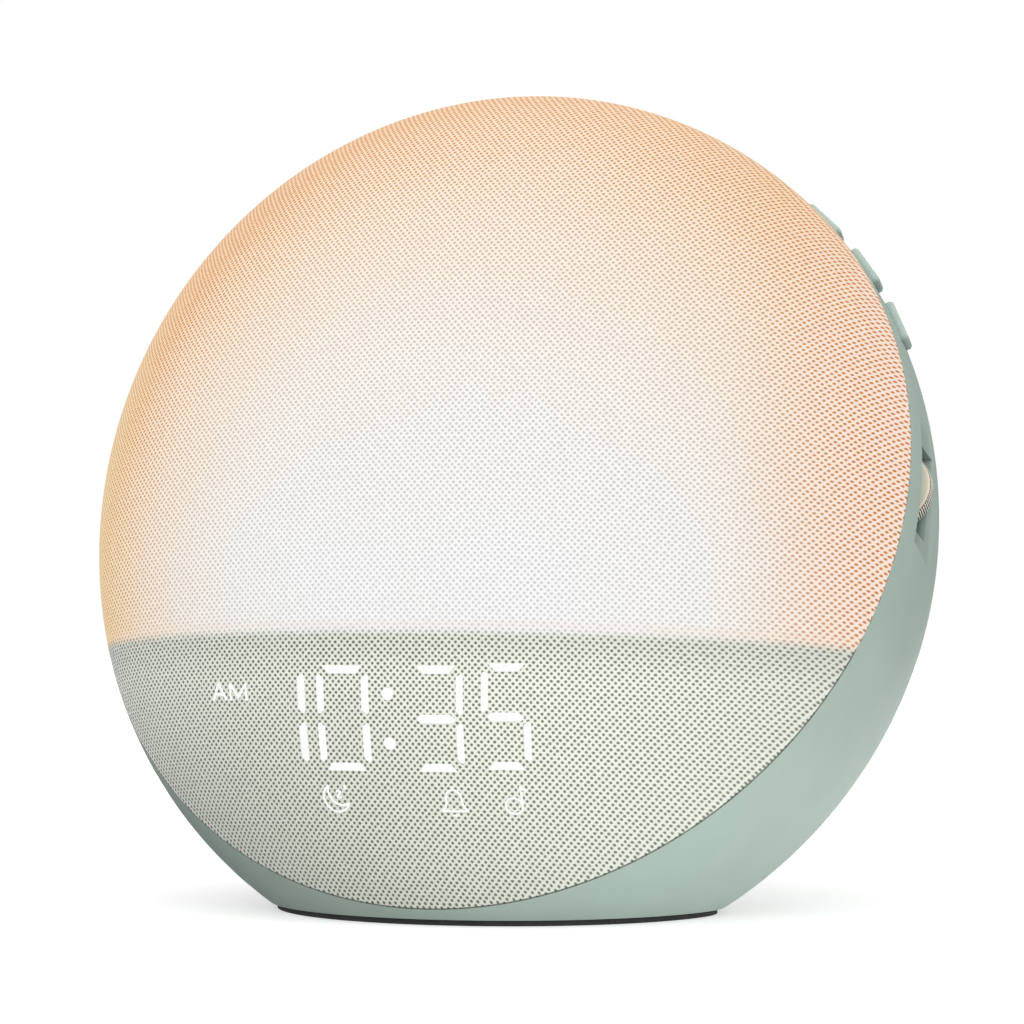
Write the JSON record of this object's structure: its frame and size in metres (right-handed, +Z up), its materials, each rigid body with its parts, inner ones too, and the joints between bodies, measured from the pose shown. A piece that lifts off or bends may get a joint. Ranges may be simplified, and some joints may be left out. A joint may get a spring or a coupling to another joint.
{
  "type": "sunrise alarm clock",
  "caption": "Round bedside alarm clock: leaning fabric-covered light dome with a glowing time display, side keys and a ribbed scroll wheel, on a flat foot.",
  "frame": {"origin": "centre of the flat foot's underside, where the clock stands on a table", "axes": "+X to the right of someone who faces the lit front, which is the side with the keys and the wheel, +Y to the back, +Z up; the lit front faces -Y and leans back"},
  "size_m": [0.1737, 0.1515, 0.1684],
  "materials": {
    "sage_abs": "satin sage green ABS",
    "cream_abs": "satin cream ABS",
    "woven_fabric": "open woven speaker-cloth, off-white thread",
    "opal_plastic": "opal diffusing polycarbonate",
    "white_abs": "white moulded ABS",
    "black_abs": "matt black ABS",
    "light_guide": "clear acrylic light guide",
    "dark_guide": "clear acrylic light guide, unlit",
    "led_package": "white lamp package with phosphor",
    "board": "green solder mask",
    "white_board": "white solder mask",
    "chip": "black epoxy",
    "capacitor": "aluminium can",
    "steel_screw": "zinc-plated steel",
    "cell_steel": "nickel-plated steel",
    "pin_brass": "nickel-plated brass",
    "axle_steel": "ground steel",
    "bracket_steel": "pressed steel",
    "magnet": "ferrite with a steel plate",
    "paper": "pressed paper",
    "foam_rubber": "soft rubber",
    "foot_rubber": "matt dark grey rubber",
    "silicone": "translucent silicone",
    "polyimide": "polyimide film",
    "copper": "enamelled copper wire"
  },
  "bodies": {
    "clock_body": {"rear_housing": "sage_abs", "front_fabric": "woven_fabric", "diffuser_shell": "opal_plastic", "front_ring": "black_abs", "front_ring_screws": "steel_screw", "light_shelf": "white_abs", "reflector_tub": "white_abs", "reflector_screws": "steel_screw", "led_board": "white_board", "led_board_screws": "steel_screw", "warm_leds": "led_package", "cool_leds": "led_package", "display_board": "board", "display_mask": "black_abs", "lit_segment_guides": "light_guide", "unlit_segment_guides": "dark_guide", "indicator_guides": "light_guide", "display_lamps": "led_package", "foot_pad": "foot_rubber", "base_plate": "black_abs", "base_screws": "steel_screw", "main_board": "board", "main_board_screws": "steel_screw", "board_chips": "chip", "board_capacitors": "capacitor", "board_connectors": "white_abs", "coin_cell_holder": "black_abs", "coin_cell": "cell_steel", "power_jack": "black_abs", "power_jack_pin": "pin_brass", "key_contact_strip": "polyimide", "key_bracket": "black_abs", "key_bracket_screws": "steel_screw", "wheel_bracket": "bracket_steel", "wheel_bracket_screws": "steel_screw", "wheel_encoder": "black_abs", "speaker_gasket": "foam_rubber", "speaker_basket": "bracket_steel", "speaker_magnet": "magnet", "speaker_cone": "paper", "speaker_surround": "foam_rubber", "speaker_dust_cap": "paper", "speaker_voice_coil": "copper", "speaker_screws": "steel_screw", "key_dome_lower": "silicone", "key_dome_middle": "silicone", "key_dome_upper": "silicone"},
    "key_lower": {"key_lower": "sage_abs"},
    "key_middle": {"key_middle": "sage_abs"},
    "key_upper": {"key_upper": "sage_abs"},
    "scroll_wheel": {"scroll_wheel": "cream_abs", "wheel_axle": "axle_steel"}
  },
  "joints": [
    {"name": "key_lower_press", "type": "slide", "parent": "clock_body", "child": "key_lower", "axis": [-0.9063, -0.1616, -0.3906], "range_m": [0, 0.001], "stiffness_N_per_m": 1200, "deforming": ["key_dome_lower"]},
    {"name": "key_middle_press", "type": "slide", "parent": "clock_body", "child": "key_middle", "axis": [-0.824, -0.228, -0.5187], "range_m": [0, 0.001], "stiffness_N_per_m": 1200, "deforming": ["key_dome_middle"]},
    {"name": "key_upper_press", "type": "slide", "parent": "clock_body", "child": "key_upper", "axis": [-0.716, -0.2886, -0.6356], "range_m": [0, 0.001], "stiffness_N_per_m": 1200, "deforming": ["key_dome_upper"]},
    {"name": "scroll_wheel_turn", "type": "hinge", "parent": "clock_body", "child": "scroll_wheel", "pos_m": [0.0779, 0.02142, 0.08401], "axis": [0, -0.8878, 0.4602], "continuous": true}
  ]
}
